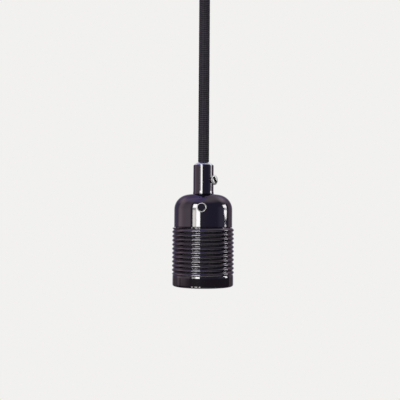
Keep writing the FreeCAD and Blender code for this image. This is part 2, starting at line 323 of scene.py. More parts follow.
# A screw with a domed head and a slot, built along +Z with the head's seat at the origin
def slotted_screw(name, head_radius, head_height, shank_radius, shank_length, slot_width, slot_depth,
                  slot_reach=open_slot):
    edge = head_height * head_edge
    outline = rounded([
        at(0, -shank_length),
        at(shank_radius, -shank_length, fillet=shank_radius * 0.2),
        at(shank_radius, 0),
        at(head_radius, 0, fillet=head_height * 0.15),
        at(head_radius, head_height - edge, fillet=head_height * 0.3),
        at(head_radius * crown_radius, head_height - edge * crown_drop, fillet=head_height * 0.5),
        at(0, head_height),
    ])
    screw = turned(name, outline, screw_segments)
    slot = bar(name + "_slot", head_radius * slot_reach, slot_width / 2, slot_depth)
    cut(screw, shifted(slot, (0, 0, head_height)))
    return screw


# The faces inside a screw's slot, which lie between its sides and ends and above its floor
def slot_faces(screw, head_height, slot_length, slot_width, slot_depth):
    end = (slot_length / 2 + face_slack) * mm
    side = (slot_width / 2 + face_slack) * mm
    low = (head_height - slot_depth - face_slack) * mm
    inside = []
    for face in screw.data.polygons:
        if abs(face.center.x) < end and abs(face.center.y) < side and face.center.z > low:
            inside.append(face.index)
    return inside


# The faces of a screw's shank and of its head's underside
def shank_faces(screw):
    return [face.index for face in screw.data.polygons if face.center.z < face_slack * mm]


# Materials
def shader(name):
    material = bpy.data.materials.new(name)
    material.use_nodes = True
    tree = material.node_tree
    return material, tree, tree.nodes["Principled BSDF"]


def noise(tree, scale, detail=3.0, stretch=(1, 1, 1)):
    place = tree.nodes.new("ShaderNodeTexCoord")
    mapping = tree.nodes.new("ShaderNodeMapping")
    mapping.inputs["Scale"].default_value = stretch
    texture = tree.nodes.new("ShaderNodeTexNoise")
    texture.inputs["Scale"].default_value = scale
    texture.inputs["Detail"].default_value = detail
    tree.links.new(place.outputs["Object"], mapping.inputs["Vector"])
    tree.links.new(mapping.outputs["Vector"], texture.inputs["Vector"])
    return texture.outputs["Fac"]


def remap(tree, value, low, high, from_low=0.3, from_high=0.7):
    node = tree.nodes.new("ShaderNodeMapRange")
    node.inputs["From Min"].default_value = from_low
    node.inputs["From Max"].default_value = from_high
    node.inputs["To Min"].default_value = low
    node.inputs["To Max"].default_value = high
    tree.links.new(value, node.inputs["Value"])
    return node.outputs["Result"]


def blended(tree, factor, first, second):
    node = tree.nodes.new("ShaderNodeMix")
    node.data_type = "RGBA"
    node.inputs["A"].default_value = (*first, 1)
    node.inputs["B"].default_value = (*second, 1)
    tree.links.new(factor, node.inputs["Factor"])
    return node.outputs["Result"]


def bumped(tree, base, height, strength, distance):
    node = tree.nodes.new("ShaderNodeBump")
    node.inputs["Strength"].default_value = strength
    node.inputs["Distance"].default_value = distance
    tree.links.new(height, node.inputs["Height"])
    tree.links.new(node.outputs["Normal"], base.inputs["Normal"])


def maths(tree, operation, first, second):
    node = tree.nodes.new("ShaderNodeMath")
    node.operation = operation
    for socket, value in zip(node.inputs, (first, second)):
        if isinstance(value, (int, float)):
            socket.default_value = value
        else:
            tree.links.new(value, socket)
    return node.outputs["Value"]


white_edge = (1, 1, 1)
grey_edge = (0.5, 0.5, 0.5)


def metal(name, colour, worn, smooth, rough, edge=white_edge, patch_scale=300.0, grain_scale=1800.0,
          grain_depth=0.00004):
    material, tree, base = shader(name)
    base.inputs["Metallic"].default_value = 1.0
    base.inputs["Specular Tint"].default_value = (*edge, 1)
    patches = noise(tree, patch_scale, detail=4.0)
    grain = noise(tree, grain_scale, detail=2.0)
    tree.links.new(blended(tree, patches, colour, worn), base.inputs["Base Color"])
    tree.links.new(remap(tree, patches, smooth, rough), base.inputs["Roughness"])
    bumped(tree, base, grain, strength=0.25, distance=grain_depth)
    return material


def plastic(name, colour, other):
    material, tree, base = shader(name)
    mottle = noise(tree, scale=900.0)
    tree.links.new(blended(tree, mottle, colour, other), base.inputs["Base Color"])
    tree.links.new(remap(tree, mottle, low=0.38, high=0.52), base.inputs["Roughness"])
    bumped(tree, base, mottle, strength=0.2, distance=0.00003)
    return material


def glazed(name, colour, other):
    material, tree, base = shader(name)
    cloud = noise(tree, scale=120.0, detail=4.0)
    ripple = noise(tree, scale=260.0, detail=1.0)
    tree.links.new(blended(tree, cloud, colour, other), base.inputs["Base Color"])
    tree.links.new(remap(tree, ripple, low=0.1, high=0.2), base.inputs["Roughness"])
    base.inputs["Coat Weight"].default_value = 0.5
    base.inputs["Coat Roughness"].default_value = 0.06
    bumped(tree, base, ripple, strength=0.2, distance=0.0001)
    return material


def plaster(name, colour, other):
    material, tree, base = shader(name)
    cloud = noise(tree, scale=3.0)
    tree.links.new(blended(tree, cloud, colour, other), base.inputs["Base Color"])
    base.inputs["Roughness"].default_value = 0.85
    return material


# Braided textile: its colour paints shade in the gaps between the yarns and light on rows of yarns, in
# waves that run round the cord and along it
braid_yarns = 12
braid_period = 1.28
yarn_share = 0.3
crossing_limit = 0.7


def yarn_wave(tree, lap):
    return maths(tree, "COSINE", maths(tree, "MULTIPLY", lap, full_turn), 0.0)


def textile(name, gap_painted_shade, yarn_colour):
    material, tree, base = shader(name)
    fibre = noise(tree, scale=5200.0, stretch=(1, 1, 0.35))
    tint = noise(tree, scale=420.0)
    place = tree.nodes.new("ShaderNodeTexCoord")
    split = tree.nodes.new("ShaderNodeSeparateXYZ")
    tree.links.new(place.outputs["Object"], split.inputs["Vector"])
    turn = maths(tree, "ARCTAN2", split.outputs["Y"], split.outputs["X"])
    lap = maths(tree, "MULTIPLY", turn, braid_yarns / full_turn)
    height = maths(tree, "SUBTRACT", split.outputs["Z"], cord_end * mm)
    travel = maths(tree, "DIVIDE", height, braid_period * mm)
    # Colour waves that paint light on rows of yarns and shade in the gaps between them
    yarns = maths(tree, "MULTIPLY", yarn_wave(tree, lap), yarn_share)
    lit_row_wave = maths(tree, "SUBTRACT", yarn_wave(tree, travel), yarns)
    over = remap(tree, lit_row_wave, low=0.0, high=1.0, from_low=-crossing_limit, from_high=crossing_limit)
    shade = maths(tree, "MULTIPLY", over, remap(tree, tint, low=0.6, high=1.0))
    tree.links.new(blended(tree, shade, gap_painted_shade, yarn_colour), base.inputs["Base Color"])
    tree.links.new(remap(tree, fibre, low=0.62, high=0.9), base.inputs["Roughness"])
    base.inputs["Specular IOR Level"].default_value = 0.15
    bumped(tree, base, fibre, strength=0.5, distance=0.00012)
    return material


pearl_black = metal("pearl_black", colour=(0.108, 0.101, 0.112), worn=(0.092, 0.086, 0.096),
                    smooth=0.03, rough=0.07, edge=(0.45, 0.43, 0.52), patch_scale=160.0,
                    grain_scale=700.0, grain_depth=0.000012)
pearl_base = pearl_black.node_tree.nodes["Principled BSDF"]
pearl_base.inputs["Coat Weight"].default_value = 0.08
pearl_base.inputs["Coat Roughness"].default_value = 0.55
bright_nickel = metal("bright_nickel", colour=(0.74, 0.72, 0.69), worn=(0.66, 0.64, 0.61),
                      smooth=0.13, rough=0.26)
dull_nickel = metal("dull_nickel", colour=(0.42, 0.41, 0.42), worn=(0.36, 0.35, 0.36),
                    smooth=0.4, rough=0.5, edge=grey_edge)
# Nickel tinted blue as a painted reflection of the blue room it faces
nickel_blue_reflection = metal("nickel_blue_reflection", colour=(0.6, 0.69, 0.74), worn=(0.54, 0.62, 0.67),
                    smooth=0.13, rough=0.26)
# Near-black metal painted into screw slots as painted shade in the recess
painted_slot_shade = metal("painted_slot_shade", colour=(0.012, 0.011, 0.014), worn=(0.008, 0.008, 0.01),
                   smooth=0.5, rough=0.6, edge=(0.1, 0.1, 0.1))
zinc = metal("zinc_plate", colour=(0.62, 0.63, 0.63), worn=(0.52, 0.53, 0.54),
             smooth=0.28, rough=0.45, patch_scale=260.0, grain_scale=2200.0, grain_depth=0.00006)
brass = metal("brass", colour=(0.80, 0.61, 0.30), worn=(0.68, 0.49, 0.22),
              smooth=0.18, rough=0.34, patch_scale=240.0, grain_scale=1900.0, grain_depth=0.00005)
braid = textile("textile_braid", gap_painted_shade=(0.001, 0.0009, 0.0014), yarn_colour=(0.041, 0.034, 0.052))
porcelain = glazed("white_porcelain", colour=(0.88, 0.87, 0.84), other=(0.80, 0.79, 0.75))
brown_core = plastic("brown_core", colour=(0.2, 0.09, 0.04), other=(0.17, 0.075, 0.033))
blue_core = plastic("blue_core", colour=(0.05, 0.16, 0.5), other=(0.045, 0.14, 0.43))
green_core = plastic("green_core", colour=(0.05, 0.11, 0.03), other=(0.045, 0.095, 0.026))


# Cord: a braided sleeve on the line of the route
route = [(0, 0, z * mm) for z in (cord_end, route_low, route_high, cord_top)]
route_resolution = 16
braid_relief = 0.26
braid_middle = 0.75
over_share = 0.65
under_share = 0.35
braid_rings = 1020
braid_segments = 96


def route_line(points):
    curve = bpy.data.curves.new("cord_route", "CURVE")
    curve.dimensions = "3D"
    spline = curve.splines.new("NURBS")
    spline.points.add(len(points) - 1)
    for point, place in zip(spline.points, points):
        point.co = (*place, 1)
    spline.order_u = 3
    spline.use_endpoint_u = True
    spline.resolution_u = route_resolution
    holder = bpy.data.objects.new("cord_route", curve)
    bpy.context.scene.collection.objects.link(holder)
    bpy.context.view_layer.update()
    graph = bpy.context.evaluated_depsgraph_get()
    mesh = bpy.data.meshes.new_from_object(holder.evaluated_get(graph))
    line = [vertex.co.copy() for vertex in mesh.vertices]
    bpy.data.objects.remove(holder)
    return line


def along(line, share):
    lengths = [(b - a).length for a, b in zip(line, line[1:])]
    left = sum(lengths) * share
    for a, b, length in zip(line, line[1:], lengths):
        if left <= length:
            return a.lerp(b, left / length)
        left -= length
    return line[-1].copy()


# How far a yarn stands out: two sets cross each other, one over and one under in turn
def braid_height(turn, travel):
    lap = turn / full_turn * braid_yarns
    rise = travel / braid_period
    one = lap + rise
    two = lap - rise
    across_one = 1 - (2 * (one % 1) - 1) ** 2
    across_two = 1 - (2 * (two % 1) - 1) ** 2
    if (math.floor(one) + math.floor(two)) % 2 == 0:
        return over_share * across_one + under_share * across_two
    return over_share * across_two + under_share * across_one


def braided_cord(line):
    total = sum((b - a).length for a, b in zip(line, line[1:])) / mm
    places = []
    for i in range(braid_rings):
        share = i / (braid_rings - 1)
        centre = along(line, share) / mm
        for j in range(braid_segments):
            turn = full_turn * j / braid_segments
            radius = cord_radius + braid_relief * (braid_height(turn, share * total) - braid_middle)
            x = centre.x + radius * math.cos(turn)
            y = centre.y + radius * math.sin(turn)
            places.append((x, y, centre.z))
    return piece_from("braided_cord", places, tube_faces(braid_rings, braid_segments), weld=False)


cord_line = route_line(route)
cord = finished(braided_cord(cord_line), "hanger", "textile", braid, "cord")


# Threaded sleeve: a rolled right-hand thread above a plain band with a turned-in lip
thread_rows_per_pitch = 18
thread_segments = 256
crest_power = 0.8
neck_length = 0.9
neck_slope = 0.12
runout = 0.9
top_taper = 0.55
top_drop = 0.35
mouth_bevel = 0.1


def smooth_step(value):
    value = min(max(value, 0.0), 1.0)
    return value * value * (3 - 2 * value)


# A thread's wave round a turn, from 0 in its root to 1 on its crest
def wave(rise, pitch, turn):
    return 0.5 + 0.5 * math.cos(full_turn * (rise / pitch - turn / full_turn))


def thread_radius(z):
    def radius(turn):
        rise = z - band_top
        crest = wave(rise, thread_pitch, turn) ** crest_power
        rolled = thread_root + (thread_crest - thread_root) * crest
        neck = band_radius - neck_slope * rise
        start = smooth_step((rise - neck_length) / runout)
        end = smooth_step((sleeve_top - z) / top_taper)
        return neck * (1 - start) + rolled * start - top_drop * (1 - end)
    return radius


def sleeve_rows():
    rows = rounded([
        at(sleeve_bore, band_top),
        at(sleeve_bore, lip_top, fillet=0.5),
        at(lip_radius, lip_top, fillet=0.3),
        at(lip_radius + lip_bevel, mouth, fillet=0.3),
        at(band_radius, mouth, fillet=1.4),
        at(band_radius, band_top),
    ])
    steps = round((sleeve_top - band_top) / thread_pitch * thread_rows_per_pitch)
    for step in range(1, steps + 1):
        z = band_top + (sleeve_top - band_top) * step / steps
        rows.append((thread_radius(z), z))
    rows.append((sleeve_bore + mouth_bevel, sleeve_top))
    rows.append((sleeve_bore, sleeve_top - mouth_bevel))
    return rows


barrel = turned("threaded_barrel", sleeve_rows(), thread_segments)
finished(barrel, "sleeve", "black_metal", pearl_black, "sleeve")


# Dome: a drawn cap with a round shoulder and a stepped-in skirt, pierced for the eyelet
dome_segments = 192
shoulder_steps = 24
inside_steps = 16
wall_start = 2.0
drill_half = 3.0
drill_segments = 64


def dome_outline():
    corner_r = dome_radius - dome_shoulder
    corner_z = dome_top - dome_shoulder
    inside_shoulder = dome_shoulder - dome_wall
    outside = arc(corner_r, corner_z, dome_shoulder, start=90, end=0, steps=shoulder_steps)
    inside = arc(corner_r, corner_z, inside_shoulder, start=0, end=90, steps=inside_steps)
    skirt = rounded([
        at(dome_radius, corner_z - wall_start),
        at(dome_radius, seam, fillet=0.35),
        at(skirt_radius, seam, fillet=0.15),
        at(skirt_radius, skirt_bottom, fillet=0.3),
        at(skirt_radius - dome_wall, skirt_bottom, fillet=0.3),
        at(skirt_radius - dome_wall, seam + dome_wall, fillet=0.3),
        at(dome_radius - dome_wall, seam + dome_wall, fillet=0.3),
        at(dome_radius - dome_wall, corner_z - wall_start),
    ])
    stud_hole = stud_radius + stud_play
    rim = [(stud_hole, dome_top - dome_wall), (stud_hole, dome_top)]
    return outside + skirt + inside + rim


eyelet_azimuth = math.radians(-3.3)
eyelet_axis = outward(eyelet_azimuth)
eyelet_seat = eyelet_axis * dome_radius + up * eyelet_level
dome = turned("dome_cap", dome_outline(), dome_segments)
eyelet_drill = drill("drill", eyelet_tube, -drill_half, drill_half, drill_segments)
cut(dome, placed(eyelet_drill, eyelet_seat, eyelet_axis))
finished(dome, "hanger", "black_metal", pearl_black, "dome")

# Eyelet: a rivet with a rolled rim, and a floor behind its bore painted pearl black as painted shade of
# the hole
eyelet_segments = 96
eyelet_back = -2.0
eyelet_floor = -0.8
tube_front = -0.1
rim_back = -0.18
rim_side = 0.15
rim_front = 0.4
rim_roll = 0.2
bore_front = 0.1
floor_slack = 0.1
facing_front = 0.5
eyelet = turned("eyelet_ring", rounded([
    at(0, eyelet_back),
    at(eyelet_tube, eyelet_back),
    at(eyelet_tube, tube_front),
    at(eyelet_rim, rim_back, fillet=0.05),
    at(eyelet_rim, rim_side, fillet=0.15),
    at(eyelet_rim - rim_roll, rim_front, fillet=0.2),
    at(eyelet_bore + rim_roll, rim_front, fillet=0.2),
    at(eyelet_bore, bore_front, fillet=0.25),
    at(eyelet_bore, eyelet_floor, fillet=0.1),
    at(0, eyelet_floor),
]), eyelet_segments)
hole_shade_faces = []
for face in eyelet.data.polygons:
    if (eyelet_floor - floor_slack) * mm < face.center.z < 0 and face.normal.z > facing_front:
        hole_shade_faces.append(face.index)
placed(eyelet, eyelet_seat, eyelet_axis)
finished(eyelet, "hanger", "nickel", dull_nickel, "earth_eyelet")
# The floor painted pearl black as painted shade inside the bore
dressed(eyelet, pearl_black, hole_shade_faces)

# Cord grip with a flared foot, drilled for the clamp screw, and the bright turned cone on top of it, its
# nickel tinted blue as a painted reflection of the room
cone_low = grip_top - grip_bevel_height
cone_gap = 0.02
cone_inset = 0.1
waist_inset = 0.8
waist_height = 0.9
foot_flare = 0.14
foot_height = 1.0
foot_fade = 1.2
grip = turned("grip_body", rounded([
    at(grip_bore, stud_end, fillet=0.2),
    at(stud_radius, stud_end, fillet=0.5),
    at(stud_radius, dome_top),
    at(grip_radius + foot_flare, dome_top, fillet=0.6),
    at(grip_radius + foot_flare, dome_top + foot_height, fillet=0.2),
    at(grip_radius, dome_top + foot_height + foot_fade, fillet=1.0),
    at(grip_radius, cone_low, fillet=0.1),
    at(grip_bore, cone_low),
]))
clamp_azimuth = math.radians(49.0)
clamp_axis = outward(clamp_azimuth)
clamp_drill = drill("clamp_drill", radius=1.95, low=0, high=10, segments=drill_segments)
cut(grip, placed(clamp_drill, (0, 0, clamp_level), clamp_axis))
finished(grip, "hanger", "black_metal", pearl_black, "cord_grip")
cone = turned("grip_cone", rounded([
    at(grip_bore, cone_low + cone_gap),
    at(grip_radius - cone_inset, cone_low + cone_gap, fillet=0.05),
    at(grip_radius - waist_inset, cone_low + waist_height, fillet=0.8),
    at(grip_radius - grip_bevel_width, grip_top, fillet=0.15),
    at(grip_bore, grip_top, fillet=0.1),
]))
finished(cone, "hanger", "nickel", nickel_blue_reflection)

# Clamp screw: a thin nickel head with a short slot painted near black as painted shade, on a shank painted
# dark as painted shade under the head
clamp_head_radius = 3.25
clamp_head_height = 0.8
clamp_shank_length = 5.45
clamp_slot_reach = 0.72
clamp_slot_width = 2.2
clamp_slot_depth = 0.6
clamp_stand = 2.4
clamp_roll = math.radians(-4.0)
clamp = slotted_screw("clamp_screw_slotted", clamp_head_radius, clamp_head_height, shank_radius=1.9,
                      shank_length=clamp_shank_length, slot_width=clamp_slot_width,
                      slot_depth=clamp_slot_depth, slot_reach=clamp_slot_reach)
clamp_slot_length = 2 * clamp_head_radius * clamp_slot_reach
clamp_slot_shade = slot_faces(clamp, clamp_head_height, clamp_slot_length, clamp_slot_width, clamp_slot_depth)
clamp_shank_shade = shank_faces(clamp)
clamp_seat = clamp_axis * (grip_radius + clamp_stand) + up * clamp_level
placed(clamp, clamp_seat, clamp_axis, clamp_roll)
finished(clamp, "clamp_screw", "nickel", dull_nickel, "clamp_screw")
# The slot's faces painted near black as painted shade in the recess
dressed(clamp, painted_slot_shade, clamp_slot_shade)
# The shank and the head's underside painted pearl black as painted shade under the head
dressed(clamp, pearl_black, clamp_shank_shade)

# Ceiling rose with its gland and side screws
rose_inside = rose_radius - rose_wall
rose = turned("rose_cup", rounded([
    at(rose_hole, rose_under, fillet=0.2),
    at(rose_radius, rose_under, fillet=3.6),
    at(rose_radius, 0, fillet=0.3),
    at(rose_inside, 0, fillet=0.3),
    at(rose_inside, rose_under + rose_wall, fillet=2.6),
    at(rose_hole, rose_under + rose_wall, fillet=0.2),
]))
for side in both_sides:
    hole = drill("rose_hole", rose_screw_hole, low=-4, high=4, segments=48)
    middle = side * (rose_radius + rose_inside) / 2
    cut(rose, placed(hole, (middle, 0, rose_screw_level), Vector((side, 0, 0))))
finished(rose, "hanger", "black_metal", pearl_black, "ceiling_rose")
gland = turned("gland_collar", rounded([
    at(gland_bore, gland_low, fillet=0.4),
    at(gland_nose, gland_low, fillet=0.5),
    at(gland_radius, gland_low + gland_radius - gland_nose, fillet=0.5),
    at(gland_radius, rose_under, fillet=0.2),
    at(gland_stud, rose_under),
    at(gland_stud, gland_stud_top, fillet=0.4),
    at(gland_bore, gland_stud_top, fillet=0.3),
]))
finished(gland, "hanger", "black_metal", pearl_black, "rose_gland")
rose_screw_roll = 0.6
side_screws = []
for side in both_sides:
    screw = slotted_screw("rose_side_screw", head_radius=2.8, head_height=1.6, shank_radius=1.5,
                          shank_length=7.0, slot_width=0.9, slot_depth=0.8)
    seat = (side * rose_radius, 0, rose_screw_level)
    side_screws.append(placed(screw, seat, Vector((side, 0, 0)), side * rose_screw_roll))
finished(joined("rose_side_screws", side_screws), "hanger", "black_metal", pearl_black, "rose_screws")

# Pieces that the dome and the grip don't mirror in the photo
for piece in (clamp, rose, gland):
    piece.visible_glossy = False

# Porcelain ring and base
ring = turned("porcelain_ring", rounded([
    at(ring_bore, porcelain_bottom, fillet=0.7),
    at(porcelain_radius, porcelain_bottom, fillet=0.5),
    at(porcelain_radius, flange_low, fillet=0.3),
    at(ring_bore, flange_low, fillet=0.3),
]))
finished(ring, "interior", "porcelain", porcelain, "insulating_ring")
well_floor = socket_floor + contact_well_depth
base = turned("porcelain_base", rounded([
    at(contact_hole, socket_floor, fillet=0.2),
    at(porcelain_cup, socket_floor, fillet=0.4),
    at(porcelain_cup, flange_low, fillet=0.3),
    at(porcelain_radius, flange_low, fillet=0.3),
    at(porcelain_radius, porcelain_shoulder, fillet=0.4),
    at(porcelain_neck, porcelain_shoulder, fillet=0.3),
    at(porcelain_neck, porcelain_top, fillet=0.8),
    at(contact_well, porcelain_top, fillet=0.4),
    at(contact_well, well_floor, fillet=0.3),
    at(contact_hole, well_floor, fillet=0.2),
]))
for side in both_sides:
    hole = drill("rivet_hole", radius=1.25, low=rivet_hole_low, high=rivet_hole_top, segments=40)
    cut(base, shifted(hole, (0, side * rivet_offset, 0)))
finished(base, "interior", "porcelain", porcelain, "porcelain_body")

# Screw shell: thin sheet with a rolled thread for an E27 lamp, stepped in to a flat floor
shell_segments = 144
shell_rows_per_pitch = 16
shell_pitch = 3.629
shell_crest = 12.2
shell_root = 13.25
shell_sheet = 0.42
shell_cup = 11.7
cup_sheet = 0.45
step_overhang = 0.3
floor_sheet = 0.5
floor_hole = 7.0
lead_in = 1.5
lead_out = 1.2
plain_end = 0.6
shell_floor = socket_floor - floor_sheet


def shell_radius(z, outside):
    def radius(turn):
        rise = z - shell_mouth
        plain = smooth_step(rise / lead_in) * smooth_step((shell_step - plain_end - z) / lead_out)
        depth = (shell_root - shell_crest) * (1 - wave(rise, shell_pitch, turn)) * plain
        return shell_root - depth + outside
    return radius


def shell_rows():
    height = shell_step - shell_mouth
    steps = round(height / shell_pitch * shell_rows_per_pitch)
    levels = [shell_mouth + height * step / steps for step in range(steps + 1)]
    rows = [(shell_radius(z, 0), z) for z in levels]
    rows += rounded([
        at(shell_root, shell_step),
        at(shell_cup, shell_step, fillet=0.25),
        at(shell_cup, shell_floor, fillet=0.4),
        at(floor_hole, shell_floor, fillet=0.15),
        at(floor_hole, socket_floor, fillet=0.1),
        at(shell_cup + cup_sheet, socket_floor, fillet=0.7),
        at(shell_cup + cup_sheet, shell_step + cup_sheet, fillet=0.15),
        at(shell_root + step_overhang, shell_step + cup_sheet, fillet=0.3),
        at(shell_root + shell_sheet, shell_step),
    ])[1:]
    rows += [(shell_radius(z, shell_sheet), z) for z in reversed(levels)]
    return rows


shell = turned("lamp_shell", shell_rows(), shell_segments)
finished(shell, "interior", "nickel", bright_nickel, "screw_shell")

# Rivets through the shell's floor and the porcelain, with a domed head at each end
rivet_segments = 48
rivet_radius = 1.2
rivet_head = 2.2
rivet_crown = 1.3
rivet_rise = 0.8
crown_rise = 0.75
side_rise = 0.25


def rivet(side, seat):
    shape = turned("rivet", rounded([
        at(0, shell_floor - rivet_rise),
        at(rivet_crown, shell_floor - crown_rise, fillet=0.6),
        at(rivet_head, shell_floor - side_rise, fillet=0.3),
        at(rivet_head, shell_floor, fillet=0.1),
        at(rivet_radius, shell_floor),
        at(rivet_radius, seat),
        at(rivet_head, seat, fillet=0.1),
        at(rivet_head, seat + side_rise, fillet=0.3),
        at(rivet_crown, seat + crown_rise, fillet=0.6),
        at(0, seat + rivet_rise),
    ]), rivet_segments)
    return shifted(shape, (0, side * rivet_offset, 0))


rivets = joined("rivet_pair", [rivet(-1, porcelain_top), rivet(1, plate_top)])
finished(rivets, "interior", "nickel", bright_nickel, "shell_rivets")

# Centre contact with a domed tip
contact_segments = 96
contact_head = 4.6
contact_stem = 3.0
contact_flange = 4.4
tip_radius = 2.2
tip_height = 0.1
bevel_inset = 0.3
bevel_low = 0.8
bevel_high = 1.4
contact = turned("contact_tip", rounded([
    at(0, contact_tip),
    at(tip_radius, contact_tip + tip_height, fillet=1.2),
    at(contact_head - bevel_inset, contact_tip + bevel_low, fillet=0.6),
    at(contact_head, contact_tip + bevel_high, fillet=0.3),
    at(contact_head, contact_head_top, fillet=0.15),
    at(contact_stem, contact_head_top),
    at(contact_stem, contact_flange_low),
    at(contact_flange, contact_flange_low, fillet=0.1),
    at(contact_flange, contact_top, fillet=0.2),
    at(0, contact_top),
]), contact_segments)
finished(contact, "contact", "brass", brass, "contact_button")

# Leaf spring over the contact, which flattens as the contact is pressed
leaf_span = 8.0
leaf_width = 3.0
leaf_thickness = 0.4
leaf_steps = 24
leaf_corners = 4


def leaf_spring():
    rise = porcelain_top - leaf_foot
    bend = ((leaf_span / 2) ** 2 + rise ** 2) / (2 * rise)
    middle = porcelain_top - bend
    inner = bend - leaf_thickness
    places = []
    for step in range(leaf_steps + 1):
        lean = 2 * step / leaf_steps - 1
        for radius, side in ((bend, -1), (bend, 1), (inner, 1), (inner, -1)):
            angle = lean * math.acos((leaf_foot - middle) / radius)
            x = radius * math.sin(angle)
            z = middle + radius * math.cos(angle)
            places.append((x, side * leaf_width / 2, z))
    return piece_from("leaf_spring", places, tube_faces(leaf_steps + 1, leaf_corners), weld=False)


leaf = finished(leaf_spring(), "interior", "brass", brass, "contact_leaf")
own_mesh(leaf)

# Live and neutral cores, which stretch from the cord to the terminals
terminal_radius = 9.5
core_radius = 1.0
core_offset = 1.8
core_gap = 0.02
core_rings = 24
core_segments = 28


def wire_core(name, side, material, node):
    start = Vector((side * core_offset, 0, cord_end - core_gap))
    end = Vector((side * terminal_radius, 0, terminal_top + core_gap))
    run = end - start
    half_width = core_radius * run.length / abs(run.z)
    places = []
    for i in range(core_rings):
        centre = start.lerp(end, i / (core_rings - 1))
        for j in range(core_segments):
            turn = full_turn * j / core_segments
            places.append((centre.x + half_width * math.cos(turn), core_radius * math.sin(turn), centre.z))
    piece = piece_from(name, places, tube_faces(core_rings, core_segments), weld=False)
    piece.data.materials.append(material)
    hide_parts(node)
    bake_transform(piece)


wire_core("live_core", -1, brown_core, "live_wire")
wire_core("neutral_core", 1, blue_core, "neutral_wire")

# Small screws of the terminals
terminal_face = 12.5
terminal_screw_roll = 0.4
terminal_pair = []
for side in both_sides:
    screw = slotted_screw("terminal_screw", head_radius=2.0, head_height=1.4, shank_radius=1.4,
                          shank_length=3.0, slot_width=0.6, slot_depth=0.7)
    seat = (side * terminal_face, 0, (plate_top + terminal_top) / 2)
    terminal_pair.append(placed(screw, seat, Vector((side, 0, 0)), terminal_screw_roll))
terminal_screws = joined("terminal_screw_pair", terminal_pair)
finished(terminal_screws, "interior", "nickel", bright_nickel, "terminal_screws")
earth_radius = 13.5
earth_screw_roll = 0.5
earth = slotted_screw("earth_screw_slotted", head_radius=2.5, head_height=1.6, shank_radius=1.45,
                      shank_length=4.0, slot_width=0.7, slot_depth=0.8)
earth_seat = eyelet_axis * earth_radius + up * earth_screw_level
finished(placed(earth, earth_seat, up, earth_screw_roll), "hanger", "nickel", bright_nickel, "earth_screw")

# Solids that stay, with eased edges and their own finish
ease_segments = 2
ease_angle = math.radians(40)


def kept(node, material, edge=0.0):
    solid = nodes[node]
    solid.data.materials.clear()
    solid.data.materials.append(material)
    if edge:
        ease = solid.modifiers.new("eased_edges", "BEVEL")
        ease.width = edge * mm
        ease.segments = ease_segments
        ease.limit_method = "ANGLE"
        ease.angle_limit = ease_angle


kept("rose_bracket", zinc, edge=0.3)
kept("gland_nut", zinc, edge=0.4)
kept("lock_nut", zinc, edge=0.4)
kept("earth_terminal", zinc, edge=0.12)
kept("live_terminal", brass, edge=0.25)
kept("neutral_terminal", brass, edge=0.25)
kept("earth_wire", green_core)

# Floor
floor_radius = 0.6
floor_level = -0.9
floor_segments = 96
floor_mesh = bpy.data.meshes.new("floor")
floor_work = bmesh.new()
bmesh.ops.create_circle(floor_work, cap_ends=True, segments=floor_segments, radius=floor_radius)
floor_work.to_mesh(floor_mesh)
floor_work.free()
floor = bpy.data.objects.new("floor", floor_mesh)
floor.location = (0, 0, floor_level)
bpy.context.scene.collection.objects.link(floor)
floor_mesh.materials.append(plaster("pale_floor", colour=(0.82, 0.81, 0.8), other=(0.79, 0.785, 0.775)))


# Lights: tall soft panels round the fitting, by azimuth from the front and elevation in degrees
light_distance = 1.3
sill_distance = 0.48
eye_level = -0.1926


def panel(name, azimuth, elevation, radiance, distance=light_distance):
    middle = math.radians(sum(azimuth) / 2)
    half = math.radians((azimuth[1] - azimuth[0]) / 2)
    width = 2 * distance * math.tan(half)
    low, high = [distance * math.tan(math.radians(angle)) for angle in elevation]
    lamp = bpy.data.lights.new(name, "AREA")
    lamp.shape = "RECTANGLE"
    lamp.size = width
    lamp.size_y = high - low
    peak = max(radiance)
    lamp.color = [value / peak for value in radiance]
    lamp.energy = peak * math.pi * width * (high - low)
    holder = bpy.data.objects.new(name, lamp)
    holder.location = outward(middle) * distance + up * (eye_level + (low + high) / 2)
    holder.rotation_euler = (math.pi / 2, 0, middle)
    holder.visible_camera = False
    bpy.context.scene.collection.objects.link(holder)


# Key window on the left, with a mullion and a darker pane
key_left = -41.5
mullion_left = -30
mullion_right = -27
key_right = -12.5
key_foot = -3.3
pane_low = 3.0
pane_high = 9.0
key_head = 34
window_white = (9.8, 10.3, 9.2)
outer_white = (6.1, 6.3, 5.3)
pane_grey = (2.3, 2.4, 2.1)
mullion_grey = (4.2, 4.3, 3.8)
panel("key_window_outer", (key_left, mullion_left), (key_foot, pane_low), outer_white)
panel("key_window_outer_middle", (key_left, mullion_left), (pane_low, pane_high), pane_grey)
panel("key_window_outer_upper", (key_left, mullion_right), (pane_high, key_head), window_white)
panel("key_mullion", (mullion_left, mullion_right), (key_foot, pane_high), mullion_grey)
panel("key_window_inner", (mullion_right, key_right), (key_foot, key_head), window_white)

# Window on the right, which narrows towards its sill
right_white = (9.4, 9.8, 8.8)
right_grey = (3.3, 3.4, 3.1)
right_pale = (5.6, 5.8, 5.3)
panel("right_window_head", azimuth=(86, 105), elevation=(10, 24), radiance=right_white)
panel("right_window", azimuth=(91.5, 104.5), elevation=(3.0, 6.0), radiance=right_grey)
panel("right_window_upper", azimuth=(91.5, 104.5), elevation=(6.0, 10), radiance=right_pale)
panel("right_window_middle", azimuth=(88.5, 104), elevation=(2.1, 3.0), radiance=right_white)
panel("right_window_lower", azimuth=(92, 103), elevation=(1.5, 2.1), radiance=right_white)
panel("right_window_sill", azimuth=(91.5, 101), elevation=(0.35, 0.62), radiance=right_white)

